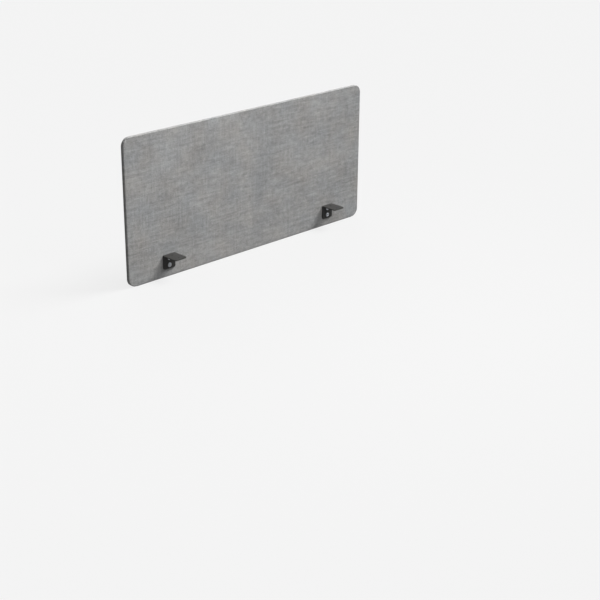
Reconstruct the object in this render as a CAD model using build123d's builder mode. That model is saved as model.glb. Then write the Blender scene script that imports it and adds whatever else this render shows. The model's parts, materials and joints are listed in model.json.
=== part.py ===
from build123d import *

import os

# Desk privacy panel: a fabric-covered screen that stands behind the rear edge of a desk and hangs
# on two steel brackets screwed to the underside of the tabletop.
#
# X runs along the panel, Y from the user's side to the far side, Z up, in millimetres.
# The origin is the middle of the four desk screw holes, on the plane where the tabletop rests.

os.makedirs("parts", exist_ok=True)

# The whole panel
panel_width = 1300
panel_height = 600
panel_thickness = 16
corner_radius = 35
top_above_seat = 506  # 490 above a tabletop 16 thick

# Layers, from the outside in
cover_thickness = 0.8
padding_thickness = 1.7
strip_thickness = 1
cover_edge_radius = 2.4

# Wooden frame
rail_height = 38
top_rail_height = 45
stile_width = 40
mullion_width = 40
mullion_spacing = 434
dowel_diameter = 5
dowel_length = 30
dowel_relief = 1
dowel_spacing = 20

# Kerf round the edge, where the cord holds the hems of both covers
kerf_width = 3.2
kerf_depth = 5

# Brackets
bracket_spacing = 900
bracket_width = 60
bracket_thickness = 4
bracket_drop = 60
bracket_reach = 36  # from the hole centre line to the free end
bend_inner_radius = 2
bracket_corner_radius = 8
desk_hole_spacing = 40
desk_hole_radius = 2.75
edge_gap = 37  # from the hole centre line to the tabletop's rear edge

# M6 screws through the brackets into tee nuts in the mounting blocks
screw_spacing = 30
screw_centre_z = -30
slot_width = 6.5
slot_length = 14
screw_diameter = 6
screw_length = 16
head_diameter = 10.5
head_height = 3.3
head_dome = 2.6
hex_across_flats = 4
hex_depth = 2.1
washer_diameter = 18
washer_hole = 6.4
washer_thickness = 1.6
bush_diameter = 12
bush_bore = 6.6
nut_flange_diameter = 18
nut_flange_thickness = 1.2
nut_barrel_diameter = 8
nut_barrel_length = 6.8
block_width = 120
block_height = 70

# Staples under the bottom rail, in two rows
staple_crown = 10
staple_leg = 6
staple_wire_width = 1.2
staple_wire_thickness = 0.5
staple_pitch = 50
staples_per_row = 24
staple_row_spacing = 7
strip_width = 13

# Depths, from the user's side to the far side
panel_front = edge_gap + bracket_thickness
panel_back = panel_front + panel_thickness
panel_middle = panel_front + panel_thickness / 2
core_front = panel_front + cover_thickness + padding_thickness
core_back = panel_back - cover_thickness - padding_thickness
core_thickness = core_back - core_front
cover_depth = (panel_thickness - kerf_width) / 2

# Heights
cover_bottom = top_above_seat - panel_height + strip_thickness
cover_height = top_above_seat - cover_bottom
cover_centre = top_above_seat - cover_height / 2
core_bottom = cover_bottom + cover_thickness
core_top = top_above_seat - cover_thickness
opening_bottom = core_bottom + rail_height
opening_top = core_top - top_rail_height
opening_height = opening_top - opening_bottom
opening_centre = (opening_top + opening_bottom) / 2
bottom_straight = panel_width - 2 * corner_radius

# Widths
stile_centre = panel_width / 2 - cover_thickness - stile_width / 2
mullion_centre = mullion_spacing / 2
side_infill_width = stile_centre - mullion_centre - (stile_width + mullion_width) / 2
side_infill_centre = mullion_centre + (mullion_width + side_infill_width) / 2
centre_infill_width = mullion_spacing - mullion_width
block_centre_z = opening_bottom + block_height / 2


# An upright plane across the panel, facing the user. A negative extrusion from it goes to the far side.
def upright(depth):
    return Plane.XZ.offset(-depth)


# The panel's outline with its four rounded corners, drawn in by an inset.
def outline(inset):
    with BuildSketch() as shape:
        with Locations((0, cover_centre)):
            RectangleRounded(panel_width - 2 * inset, cover_height - 2 * inset, corner_radius - inset)
    return shape.sketch


# The band that the kerf cuts: round the sides and the top, and stopping at the bottom straight.
def kerf_band():
    with BuildSketch() as band:
        add(outline(cover_thickness))
        add(outline(cover_thickness + kerf_depth), mode=Mode.SUBTRACT)
        with Locations((0, cover_bottom)):
            Rectangle(bottom_straight, rail_height, mode=Mode.SUBTRACT)
    return band.sketch


# Centres of the four bracket screws, two above each other at each bracket.
def screw_points():
    return GridLocations(bracket_spacing, screw_spacing, 2, 2)


# Centres of the dowels, one pair in each end of each stile and mullion.
def dowel_points():
    centres = (-stile_centre, -mullion_centre, mullion_centre, stile_centre)
    offsets = (-dowel_spacing / 2, dowel_spacing / 2)
    return [(centre + offset, panel_middle) for centre in centres for offset in offsets]


# The wooden frame. Its rails run the full width and carry the rounded corners.
with BuildPart() as frame_top_rail:
    with BuildSketch(upright(core_front)):
        add(outline(cover_thickness))
        with Locations((0, core_top)):
            Rectangle(panel_width, 2 * top_rail_height, mode=Mode.INTERSECT)
    extrude(amount=-core_thickness)
    with BuildSketch(upright(panel_middle)):
        add(kerf_band())
    extrude(amount=kerf_width / 2, both=True, mode=Mode.SUBTRACT)
    with BuildSketch(Plane.XY.offset(opening_top)):
        with Locations(*dowel_points()):
            Circle(dowel_diameter / 2)
    extrude(amount=dowel_length / 2 + dowel_relief, mode=Mode.SUBTRACT)
frame_top_rail.part.label = "frame_top_rail"
export_step(frame_top_rail.part, "parts/frame_top_rail.step")

with BuildPart() as frame_bottom_rail:
    with BuildSketch(upright(core_front)):
        add(outline(cover_thickness))
        with Locations((0, core_bottom)):
            Rectangle(panel_width, 2 * rail_height, mode=Mode.INTERSECT)
    extrude(amount=-core_thickness)
    with BuildSketch(upright(panel_middle)):
        add(kerf_band())
    extrude(amount=kerf_width / 2, both=True, mode=Mode.SUBTRACT)
    with BuildSketch(Plane.XY.offset(opening_bottom)):
        with Locations(*dowel_points()):
            Circle(dowel_diameter / 2)
    extrude(amount=-dowel_length / 2 - dowel_relief, mode=Mode.SUBTRACT)
frame_bottom_rail.part.label = "frame_bottom_rail"
export_step(frame_bottom_rail.part, "parts/frame_bottom_rail.step")

# The uprights stand between the rails: a stile at each end and two mullions between.
uprights = {
    "frame_left_stile": (-stile_centre, stile_width),
    "frame_left_mullion": (-mullion_centre, mullion_width),
    "frame_right_mullion": (mullion_centre, mullion_width),
    "frame_right_stile": (stile_centre, stile_width),
}
for name, (centre, width) in uprights.items():
    with BuildPart() as frame_upright:
        with BuildSketch(upright(core_front)):
            with Locations((centre, opening_centre)):
                Rectangle(width, opening_height)
        extrude(amount=-core_thickness)
        with BuildSketch(upright(panel_middle)):
            add(kerf_band())
        extrude(amount=kerf_width / 2, both=True, mode=Mode.SUBTRACT)
        for end, inward in ((opening_bottom, 1), (opening_top, -1)):
            with BuildSketch(Plane.XY.offset(end)):
                with Locations(*dowel_points()):
                    Circle(dowel_diameter / 2)
            extrude(amount=inward * (dowel_length / 2 + dowel_relief), mode=Mode.SUBTRACT)
    frame_upright.part.label = name
    export_step(frame_upright.part, f"parts/{name}.step")

with BuildPart() as frame_dowels:
    for joint in (opening_bottom, opening_top):
        with BuildSketch(Plane.XY.offset(joint)):
            with Locations(*dowel_points()):
                Circle(dowel_diameter / 2)
        extrude(amount=dowel_length / 2, both=True)
frame_dowels.part.label = "frame_dowels"
export_step(frame_dowels.part, "parts/frame_dowels.step")

# Each mounting block stands on the bottom rail and takes two tee nuts from its far side.
sides = {"left": -1, "right": 1}
for side, sign in sides.items():
    with BuildPart() as mounting_block:
        with BuildSketch(upright(core_front)):
            with Locations((sign * bracket_spacing / 2, block_centre_z)):
                Rectangle(block_width, block_height)
        extrude(amount=-core_thickness)
        with BuildSketch(upright(core_front)):
            with Locations((0, screw_centre_z)), screw_points():
                Circle(nut_barrel_diameter / 2)
        extrude(amount=-core_thickness, mode=Mode.SUBTRACT)
        with BuildSketch(upright(core_back)):
            with Locations((0, screw_centre_z)), screw_points():
                Circle(nut_flange_diameter / 2)
        extrude(amount=nut_flange_thickness, mode=Mode.SUBTRACT)
    mounting_block.part.label = f"mounting_block_{side}"
    export_step(mounting_block.part, f"parts/mounting_block_{side}.step")

    # The board beside it is notched over the block.
    with BuildPart() as side_infill:
        with BuildSketch(upright(core_front)):
            with Locations((sign * side_infill_centre, opening_centre)):
                Rectangle(side_infill_width, opening_height)
            with Locations((sign * bracket_spacing / 2, block_centre_z)):
                Rectangle(block_width, block_height, mode=Mode.SUBTRACT)
        extrude(amount=-core_thickness)
    side_infill.part.label = f"infill_{side}"
    export_step(side_infill.part, f"parts/infill_{side}.step")

with BuildPart() as infill_centre:
    with BuildSketch(upright(core_front)):
        with Locations((0, opening_centre)):
            Rectangle(centre_infill_width, opening_height)
    extrude(amount=-core_thickness)
infill_centre.part.label = "infill_centre"
export_step(infill_centre.part, "parts/infill_centre.step")

# Thin wadding on both faces softens the edge. At the front it leaves room for the spacer bushes.
with BuildPart() as front_padding:
    with BuildSketch(upright(core_front)):
        add(outline(cover_thickness))
    extrude(amount=padding_thickness)
    fillet(front_padding.faces().sort_by(Axis.Y)[0].edges(), cover_edge_radius - cover_thickness)
    with BuildSketch(upright(core_front)):
        with Locations((0, screw_centre_z)), screw_points():
            Circle(bush_diameter / 2)
    extrude(amount=padding_thickness, mode=Mode.SUBTRACT)
front_padding.part.label = "front_padding"
export_step(front_padding.part, "parts/front_padding.step")

with BuildPart() as back_padding:
    with BuildSketch(upright(core_back)):
        add(outline(cover_thickness))
    extrude(amount=-padding_thickness)
    fillet(back_padding.faces().sort_by(Axis.Y)[-1].edges(), cover_edge_radius - cover_thickness)
back_padding.part.label = "back_padding"
export_step(back_padding.part, "parts/back_padding.step")

# Each cover is a shallow tray: it wraps round the edge as far as the kerf.
with BuildPart() as front_fabric:
    with BuildSketch(upright(panel_front)):
        add(outline(0))
    extrude(amount=-cover_depth)
    fillet(front_fabric.faces().sort_by(Axis.Y)[0].edges(), cover_edge_radius)
    offset(amount=-cover_thickness, openings=front_fabric.faces().sort_by(Axis.Y)[-1])
    with BuildSketch(upright(panel_front)):
        with Locations((0, screw_centre_z)), screw_points():
            Circle(bush_diameter / 2)
    extrude(amount=-cover_thickness, mode=Mode.SUBTRACT)
front_fabric.part.label = "front_fabric"
export_step(front_fabric.part, "parts/front_fabric.step")

with BuildPart() as back_fabric:
    with BuildSketch(upright(panel_back)):
        add(outline(0))
    extrude(amount=cover_depth)
    fillet(back_fabric.faces().sort_by(Axis.Y)[-1].edges(), cover_edge_radius)
    offset(amount=-cover_thickness, openings=back_fabric.faces().sort_by(Axis.Y)[0])
back_fabric.part.label = "back_fabric"
export_step(back_fabric.part, "parts/back_fabric.step")

# The cord pressed into the kerf holds the hems of both covers.
with BuildPart() as edge_spline:
    with BuildSketch(upright(panel_middle)):
        add(kerf_band())
    extrude(amount=kerf_width / 2, both=True)
edge_spline.part.label = "edge_spline"
export_step(edge_spline.part, "parts/edge_spline.step")

# One row of staples pins each cover under the bottom rail, and the strip hides both rows.
with BuildPart() as bottom_staples:
    for row in (-1, 1):
        row_depth = panel_middle + row * staple_row_spacing / 2
        with BuildSketch(upright(row_depth)):
            with GridLocations(staple_pitch, 0, staples_per_row, 1):
                with Locations((0, cover_bottom + staple_leg / 2)):
                    Rectangle(staple_crown, staple_leg)
                with Locations((0, cover_bottom + staple_leg / 2 + staple_wire_thickness)):
                    Rectangle(staple_crown - 2 * staple_wire_thickness, staple_leg, mode=Mode.SUBTRACT)
        extrude(amount=staple_wire_width / 2, both=True)
bottom_staples.part.label = "bottom_staples"
export_step(bottom_staples.part, "parts/bottom_staples.step")

with BuildPart() as bottom_strip:
    with BuildSketch(Plane.XY.offset(cover_bottom)):
        with Locations((0, panel_middle)):
            SlotOverall(bottom_straight, strip_width)
    extrude(amount=-strip_thickness)
bottom_strip.part.label = "bottom_strip"
export_step(bottom_strip.part, "parts/bottom_strip.step")

# Each bracket is a bent angle: one leg under the tabletop, one down the panel's front face.
for side, sign in sides.items():
    bracket_centre = sign * bracket_spacing / 2
    with BuildPart() as bracket:
        with BuildSketch(Plane.YZ.offset(bracket_centre - bracket_width / 2)) as profile:
            with BuildLine():
                Polyline(
                    (-bracket_reach, 0),
                    (panel_front, 0),
                    (panel_front, -bracket_drop),
                    (panel_front - bracket_thickness, -bracket_drop),
                    (panel_front - bracket_thickness, -bracket_thickness),
                    (-bracket_reach, -bracket_thickness),
                    close=True,
                )
            make_face()
            bend = profile.vertices().filter_by_position(Axis.X, edge_gap, panel_front)
            bend = bend.filter_by_position(Axis.Y, -bracket_thickness, 0).sort_by(Axis.Y)
            fillet(bend[0], bend_inner_radius)
            fillet(bend[-1], bend_inner_radius + bracket_thickness)
        extrude(amount=bracket_width)
        free_end = bracket.edges().filter_by(Axis.Z).group_by(Axis.Y)[0]
        lower_end = bracket.edges().filter_by(Axis.Y).group_by(Axis.Z)[0]
        fillet(free_end + lower_end, bracket_corner_radius)
        with BuildSketch(Plane.XY):
            with Locations((bracket_centre, 0)), GridLocations(0, desk_hole_spacing, 1, 2):
                Circle(desk_hole_radius)
        extrude(amount=-bracket_thickness, mode=Mode.SUBTRACT)
        with BuildSketch(upright(panel_front)):
            with Locations((0, screw_centre_z)), screw_points():
                SlotOverall(slot_length, slot_width, rotation=90)
        extrude(amount=bracket_thickness, mode=Mode.SUBTRACT)
    bracket.part.label = f"bracket_{side}"
    export_step(bracket.part, f"parts/bracket_{side}.step")

# Hard bushes fill the soft layers, so the brackets clamp against the mounting blocks.
with BuildPart() as spacer_bushes:
    with BuildSketch(upright(core_front)):
        with Locations((0, screw_centre_z)), screw_points():
            Circle(bush_diameter / 2)
            Circle(bush_bore / 2, mode=Mode.SUBTRACT)
    extrude(amount=core_front - panel_front)
spacer_bushes.part.label = "spacer_bushes"
export_step(spacer_bushes.part, "parts/spacer_bushes.step")

with BuildPart() as bracket_washers:
    with BuildSketch(upright(edge_gap)):
        with Locations((0, screw_centre_z)), screw_points():
            Circle(washer_diameter / 2)
            Circle(washer_hole / 2, mode=Mode.SUBTRACT)
    extrude(amount=washer_thickness)
bracket_washers.part.label = "bracket_washers"
export_step(bracket_washers.part, "parts/bracket_washers.step")

# Button-head screws with a hexagon socket
head_seat = edge_gap - washer_thickness
with BuildPart() as bracket_screws:
    with BuildSketch(upright(head_seat)):
        with Locations((0, screw_centre_z)), screw_points():
            Circle(head_diameter / 2)
    extrude(amount=head_height)
    fillet(bracket_screws.faces().group_by(Axis.Y)[0].edges(), head_dome)
    with BuildSketch(upright(head_seat - head_height)):
        with Locations((0, screw_centre_z)), screw_points():
            RegularPolygon(hex_across_flats / 2, 6, major_radius=False)
    extrude(amount=-hex_depth, mode=Mode.SUBTRACT)
    with BuildSketch(upright(head_seat)):
        with Locations((0, screw_centre_z)), screw_points():
            Circle(screw_diameter / 2)
    extrude(amount=-screw_length)
bracket_screws.part.label = "bracket_screws"
export_step(bracket_screws.part, "parts/bracket_screws.step")

# Tee nuts: a flange let into the block's far side, and a threaded barrel
with BuildPart() as tee_nuts:
    with BuildSketch(upright(core_back)):
        with Locations((0, screw_centre_z)), screw_points():
            Circle(nut_flange_diameter / 2)
    extrude(amount=nut_flange_thickness)
    with BuildSketch(upright(core_back)):
        with Locations((0, screw_centre_z)), screw_points():
            Circle(nut_barrel_diameter / 2)
    extrude(amount=nut_flange_thickness + nut_barrel_length)
    with BuildSketch(upright(core_back)):
        with Locations((0, screw_centre_z)), screw_points():
            Circle(screw_diameter / 2)
    extrude(amount=nut_flange_thickness + nut_barrel_length, mode=Mode.SUBTRACT)
tee_nuts.part.label = "tee_nuts"
export_step(tee_nuts.part, "parts/tee_nuts.step")
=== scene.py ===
import json
import math

import bmesh
import bpy
from mathutils import Matrix, Vector, noise

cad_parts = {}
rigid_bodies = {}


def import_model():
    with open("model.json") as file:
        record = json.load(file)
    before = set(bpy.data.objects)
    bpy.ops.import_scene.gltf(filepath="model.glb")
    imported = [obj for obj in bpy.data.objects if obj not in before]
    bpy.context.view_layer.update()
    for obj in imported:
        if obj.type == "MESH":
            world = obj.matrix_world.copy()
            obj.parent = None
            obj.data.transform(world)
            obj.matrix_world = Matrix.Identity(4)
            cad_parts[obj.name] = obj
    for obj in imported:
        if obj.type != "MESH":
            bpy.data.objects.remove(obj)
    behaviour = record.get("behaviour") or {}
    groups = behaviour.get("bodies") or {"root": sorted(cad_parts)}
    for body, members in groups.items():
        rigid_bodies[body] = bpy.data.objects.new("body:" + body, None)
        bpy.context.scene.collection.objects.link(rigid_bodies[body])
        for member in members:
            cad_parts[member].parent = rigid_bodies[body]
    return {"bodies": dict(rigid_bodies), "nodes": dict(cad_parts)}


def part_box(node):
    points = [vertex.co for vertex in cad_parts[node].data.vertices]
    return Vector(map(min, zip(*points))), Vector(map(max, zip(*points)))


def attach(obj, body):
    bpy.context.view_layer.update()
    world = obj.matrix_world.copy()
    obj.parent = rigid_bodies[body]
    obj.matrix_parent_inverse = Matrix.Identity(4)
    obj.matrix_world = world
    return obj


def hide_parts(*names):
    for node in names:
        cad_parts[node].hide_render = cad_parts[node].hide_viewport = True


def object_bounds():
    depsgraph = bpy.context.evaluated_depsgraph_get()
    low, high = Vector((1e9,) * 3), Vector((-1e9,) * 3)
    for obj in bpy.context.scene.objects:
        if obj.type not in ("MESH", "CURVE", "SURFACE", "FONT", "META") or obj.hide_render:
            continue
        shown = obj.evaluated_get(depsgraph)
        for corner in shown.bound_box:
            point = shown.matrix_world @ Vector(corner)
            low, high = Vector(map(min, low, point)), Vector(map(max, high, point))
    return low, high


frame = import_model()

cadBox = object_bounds()
body = next(iter(frame["bodies"]))
scene = bpy.context.scene

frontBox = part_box("front_fabric")
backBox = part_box("back_fabric")
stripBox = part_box("bottom_strip")
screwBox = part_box("bracket_screws")
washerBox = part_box("bracket_washers")
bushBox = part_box("spacer_bushes")
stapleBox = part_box("bottom_staples")
bracketBoxes = (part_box("bracket_left"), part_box("bracket_right"))


def middle(box):
    return tuple((low + high) / 2 for low, high in zip(*box))


def across(box):
    return tuple(high - low for low, high in zip(*box))


# the panel's outline in the upright plane, in metres
panel = {
    "halfWidth": across(frontBox)[0] / 2,
    "halfHeight": across(frontBox)[2] / 2,
    "centreX": middle(frontBox)[0],
    "centreZ": middle(frontBox)[2],
    "middleY": (frontBox[0].y + backBox[1].y) / 2,
    "cornerRadius": 0.035,
    "frontY": frontBox[0].y,
    "backY": backBox[1].y,
    "tabletopZ": 0.016,  # top surface of the tabletop that rests on the brackets
}
print("frame loaded, body", body)


def newMaterial(name, **settings):
    material = bpy.data.materials.new(name)
    material.use_nodes = True
    tree = material.node_tree
    surface = tree.nodes["Principled BSDF"]
    for key, value in settings.items():
        surface.inputs[key].default_value = value
    return material, tree, surface


def node(tree, kind, inputs=None, **settings):
    made = tree.nodes.new(kind)
    for key, value in settings.items():
        setattr(made, key, value)
    for key, value in (inputs or {}).items():
        feed(tree, made.inputs[key], value)
    return made


def feed(tree, socket, value):
    if isinstance(value, bpy.types.NodeSocket):
        tree.links.new(value, socket)
    elif value is not None:
        socket.default_value = value


def calc(tree, operation, first, second=None, third=None):
    inputs = {0: first, 1: second, 2: third}
    return node(tree, "ShaderNodeMath", inputs, operation=operation).outputs[0]


def times(tree, first, second):
    return calc(tree, "MULTIPLY", first, second)


def plus(tree, first, second):
    return calc(tree, "ADD", first, second)


def blendNumber(tree, factor, first, second):
    inputs = {0: factor, 2: first, 3: second}
    return node(tree, "ShaderNodeMix", inputs, data_type="FLOAT").outputs[0]


def blendColour(tree, factor, first, second):
    # a mix node keeps its colours behind the sockets for numbers and vectors
    inputs = {0: factor, 6: first, 7: second}
    return node(tree, "ShaderNodeMix", inputs, data_type="RGBA").outputs[2]


def paint(tree, surface, factor, first, second):
    feed(tree, surface.inputs["Base Color"], blendColour(tree, factor, first, second))


def roughen(tree, surface, factor, amount, start):
    feed(tree, surface.inputs["Roughness"], calc(tree, "MULTIPLY_ADD", factor, amount, start))


def spread(tree, spot, scale, detail=2.0, dimensions="3D", roughness=0.5):
    # smooth random values from 0 to 1, around 0.5
    inputs = {"Vector": spot, "Scale": scale, "Detail": detail, "Roughness": roughness}
    return node(tree, "ShaderNodeTexNoise", inputs, noise_dimensions=dimensions).outputs[0]


def vectorCalc(tree, operation, *values):
    inputs = dict(enumerate(values))
    return node(tree, "ShaderNodeVectorMath", inputs, operation=operation).outputs[0]


def scaled(tree, spot, scale):
    return node(tree, "ShaderNodeVectorMath", {0: spot, "Scale": scale}, operation="SCALE").outputs[0]


def vector(tree, x, y, z=0.0):
    return node(tree, "ShaderNodeCombineXYZ", {0: x, 1: y, 2: z}).outputs[0]


def objectPlace(tree, stretch=(1, 1, 1)):
    coords = node(tree, "ShaderNodeTexCoord")
    inputs = {"Vector": coords.outputs["Object"], "Scale": stretch}
    return node(tree, "ShaderNodeMapping", inputs).outputs[0]


def bump(tree, surface, height, distance, strength=1.0):
    inputs = {"Height": height, "Distance": distance, "Strength": strength}
    feed(tree, surface.inputs["Normal"], node(tree, "ShaderNodeBump", inputs).outputs[0])


def keepMesh(name, mesh):
    data = bpy.data.meshes.new(name)
    mesh.to_mesh(data)
    mesh.free()
    return data


def place(name, data, material=None):
    # a mesh, curve, light or camera becomes an object at the origin
    made = bpy.data.objects.new(name, data)
    scene.collection.objects.link(made)
    if material:
        data.materials.clear()
        data.materials.append(material)
    return made


def settle(piece):
    # the shape that the modifiers make becomes the piece's own mesh
    name = piece.name
    solved = piece.evaluated_get(bpy.context.evaluated_depsgraph_get())
    shape = bpy.data.meshes.new_from_object(solved)
    bpy.data.objects.remove(piece)
    # a shape tree leaves an empty material slot before its own
    if None in list(shape.materials):
        shape.materials.pop(index=list(shape.materials).index(None))
    return place(name, shape)


def finishPiece(piece, slot, *cadNodes):
    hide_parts(*cadNodes)
    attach(piece, body)


def newShapeTree(name, sockets):
    tree = bpy.data.node_groups.new(name, "GeometryNodeTree")
    tree.interface.new_socket("Geometry", in_out="INPUT", socket_type="NodeSocketGeometry")
    for label, kind in sockets.items():
        tree.interface.new_socket(label, in_out="INPUT", socket_type="NodeSocket" + kind)
    tree.interface.new_socket("Geometry", in_out="OUTPUT", socket_type="NodeSocketGeometry")
    return tree, tree.nodes.new("NodeGroupInput").outputs


def endShapeTree(tree, shape, material):
    whole = node(tree, "GeometryNodeRealizeInstances", {"Geometry": shape})
    painted = node(tree, "GeometryNodeSetMaterial", {"Geometry": whole.outputs[0], "Material": material})
    node(tree, "NodeGroupOutput", {"Geometry": painted.outputs[0]})


def grow(piece, tree, values):
    # runs a shape tree on the piece, and keeps the plain mesh
    grower = piece.modifiers.new("grower", "NODES")
    grower.node_group = tree
    for item in tree.interface.items_tree:
        if item.in_out == "INPUT" and item.name in values:
            grower[item.identifier] = values[item.name]
    return settle(piece)


def repeatTree():
    # copies of one shape on a grid, each turned a little at random
    tree, inputs = newShapeTree("repeatOnGrid", {
        "countAcross": "Int", "countUp": "Int", "lengthAcross": "Float", "lengthUp": "Float",
        "gridTurn": "Vector", "centre": "Vector", "looseTurn": "Vector", "seed": "Int",
        "material": "Material",
    })
    grid = node(tree, "GeometryNodeMeshGrid", {
        "Vertices X": inputs["countAcross"], "Vertices Y": inputs["countUp"],
        "Size X": inputs["lengthAcross"], "Size Y": inputs["lengthUp"],
    })
    laid = node(tree, "GeometryNodeTransform", {
        "Geometry": grid.outputs["Mesh"], "Translation": inputs["centre"], "Rotation": inputs["gridTurn"],
    })
    turn = node(tree, "FunctionNodeRandomValue", {
        0: scaled(tree, inputs["looseTurn"], -1.0), 1: inputs["looseTurn"], "Seed": inputs["seed"],
    }, data_type="FLOAT_VECTOR")
    copies = node(tree, "GeometryNodeInstanceOnPoints", {
        "Points": laid.outputs[0], "Instance": inputs["Geometry"], "Rotation": turn.outputs[0],
    })
    endShapeTree(tree, copies.outputs[0], inputs["material"])
    return tree


def ringMesh(name, rings, loop=False):
    # a skin over rings of points, closed at both ends, or joined into a hoop
    mesh = bmesh.new()
    made = [[mesh.verts.new(point) for point in ring] for ring in rings]
    pairs = list(zip(made, made[1:])) + ([(made[-1], made[0])] if loop else [])
    for ring, after in pairs:
        count = len(ring)
        for k in range(count):
            mesh.faces.new((ring[k], ring[(k + 1) % count], after[(k + 1) % count], after[k]))
    if not loop:
        mesh.faces.new(made[0])
        mesh.faces.new(made[-1])
    bmesh.ops.recalc_face_normals(mesh, faces=mesh.faces)
    return keepMesh(name, mesh)


def quarterTurn(count, first=0):
    # (sine, one minus cosine) pairs over a quarter of a circle
    turns = [math.pi / 2 * k / count for k in range(first, count + 1)]
    return [(math.sin(turn), 1 - math.cos(turn)) for turn in turns]


def roundRing(y, radius, count):
    # a ring about the Y axis; the radius may depend on the turn
    points = []
    for k in range(count):
        turn = 2 * math.pi * k / count
        r = radius(turn) if callable(radius) else radius
        points.append((r * math.cos(turn), y, r * math.sin(turn)))
    return points


# a plain weave of melange yarns, laid out on the cloth's own UV map
cloth = {
    "warpPitch": 0.00130,  # metres between upright yarns
    "weftPitch": 0.00145,  # metres between lying yarns
    "bow": 0.42,  # how far a yarn bows over the one it crosses
    "darkYarn": (0.152, 0.151, 0.149, 1),
    "lightYarn": (0.478, 0.478, 0.473, 1),
    "slubScale": 45.0,  # slubs per metre along a yarn
    "slubAmount": 0.50,
    "crossingAmount": 0.45,  # how much one crossing differs from the next
    "jitter": 0.35,  # how uneven the yarns run, in yarn widths
    "fibres": (4200.0, 750.0, 1900.0),  # per metre over the yarn, along it, and the twist
    "fibreAmount": 0.9,
    "fibreDepth": 0.35,
    "paintedHollowShade": 0.38,  # brightness of the painted shade in the hollows between yarns
    # slower changes of tone: how many per metre across, how many up, and how strong
    "tones": (
        (12.0, 95.0, 0.41),  # long slubs in the lying yarns
        (130.0, 18.0, 0.23),  # long slubs in the upright yarns
        (45.0, 52.0, 0.37),  # soft mottling
        (6.0, 7.0, 0.34),  # clouds from the dye lot
    ),
    "tint": 0.050,  # how far patches turn warm or cool
    "tintPatches": 8.0,  # patches per metre
    "wobble": 0.5,  # how far the yarns stray together, in yarn widths
    "wobbleScale": 60.0,  # strays per metre
    "jitterScale": 450.0,
    "ownAmount": 0.25,  # how much one yarn differs from the next
    "ownStep": 7.31,  # between neighbouring yarns in the slub noise
    "warpSeed": 3.7,
    "weftSeed": 11.3,
    "hollowEdge": 0.75,  # height above which a yarn is fully lit
    "surface": {"Roughness": 0.92, "Specular IOR Level": 0.25, "Sheen Weight": 0.12, "Sheen Roughness": 0.5},
    "bumpDistance": 0.00028,
}


def centred(tree, value, amount):
    # a value from 0 to 1 becomes one from minus half the amount to plus half of it
    return times(tree, calc(tree, "SUBTRACT", value, 0.5), amount)


def yarnTone(tree, index, along, seed):
    # one yarn's tone: a value of its own, and slow slubs along its length
    own = node(tree, "ShaderNodeTexWhiteNoise", noise_dimensions="1D")
    feed(tree, own.inputs["W"], plus(tree, index, seed))
    row = times(tree, index, cloth["ownStep"])
    slub = spread(tree, vector(tree, row, along, seed), 1.0, 3.0)
    slub = centred(tree, slub, cloth["slubAmount"])
    return plus(tree, slub, centred(tree, own.outputs["Value"], cloth["ownAmount"]))


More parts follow.
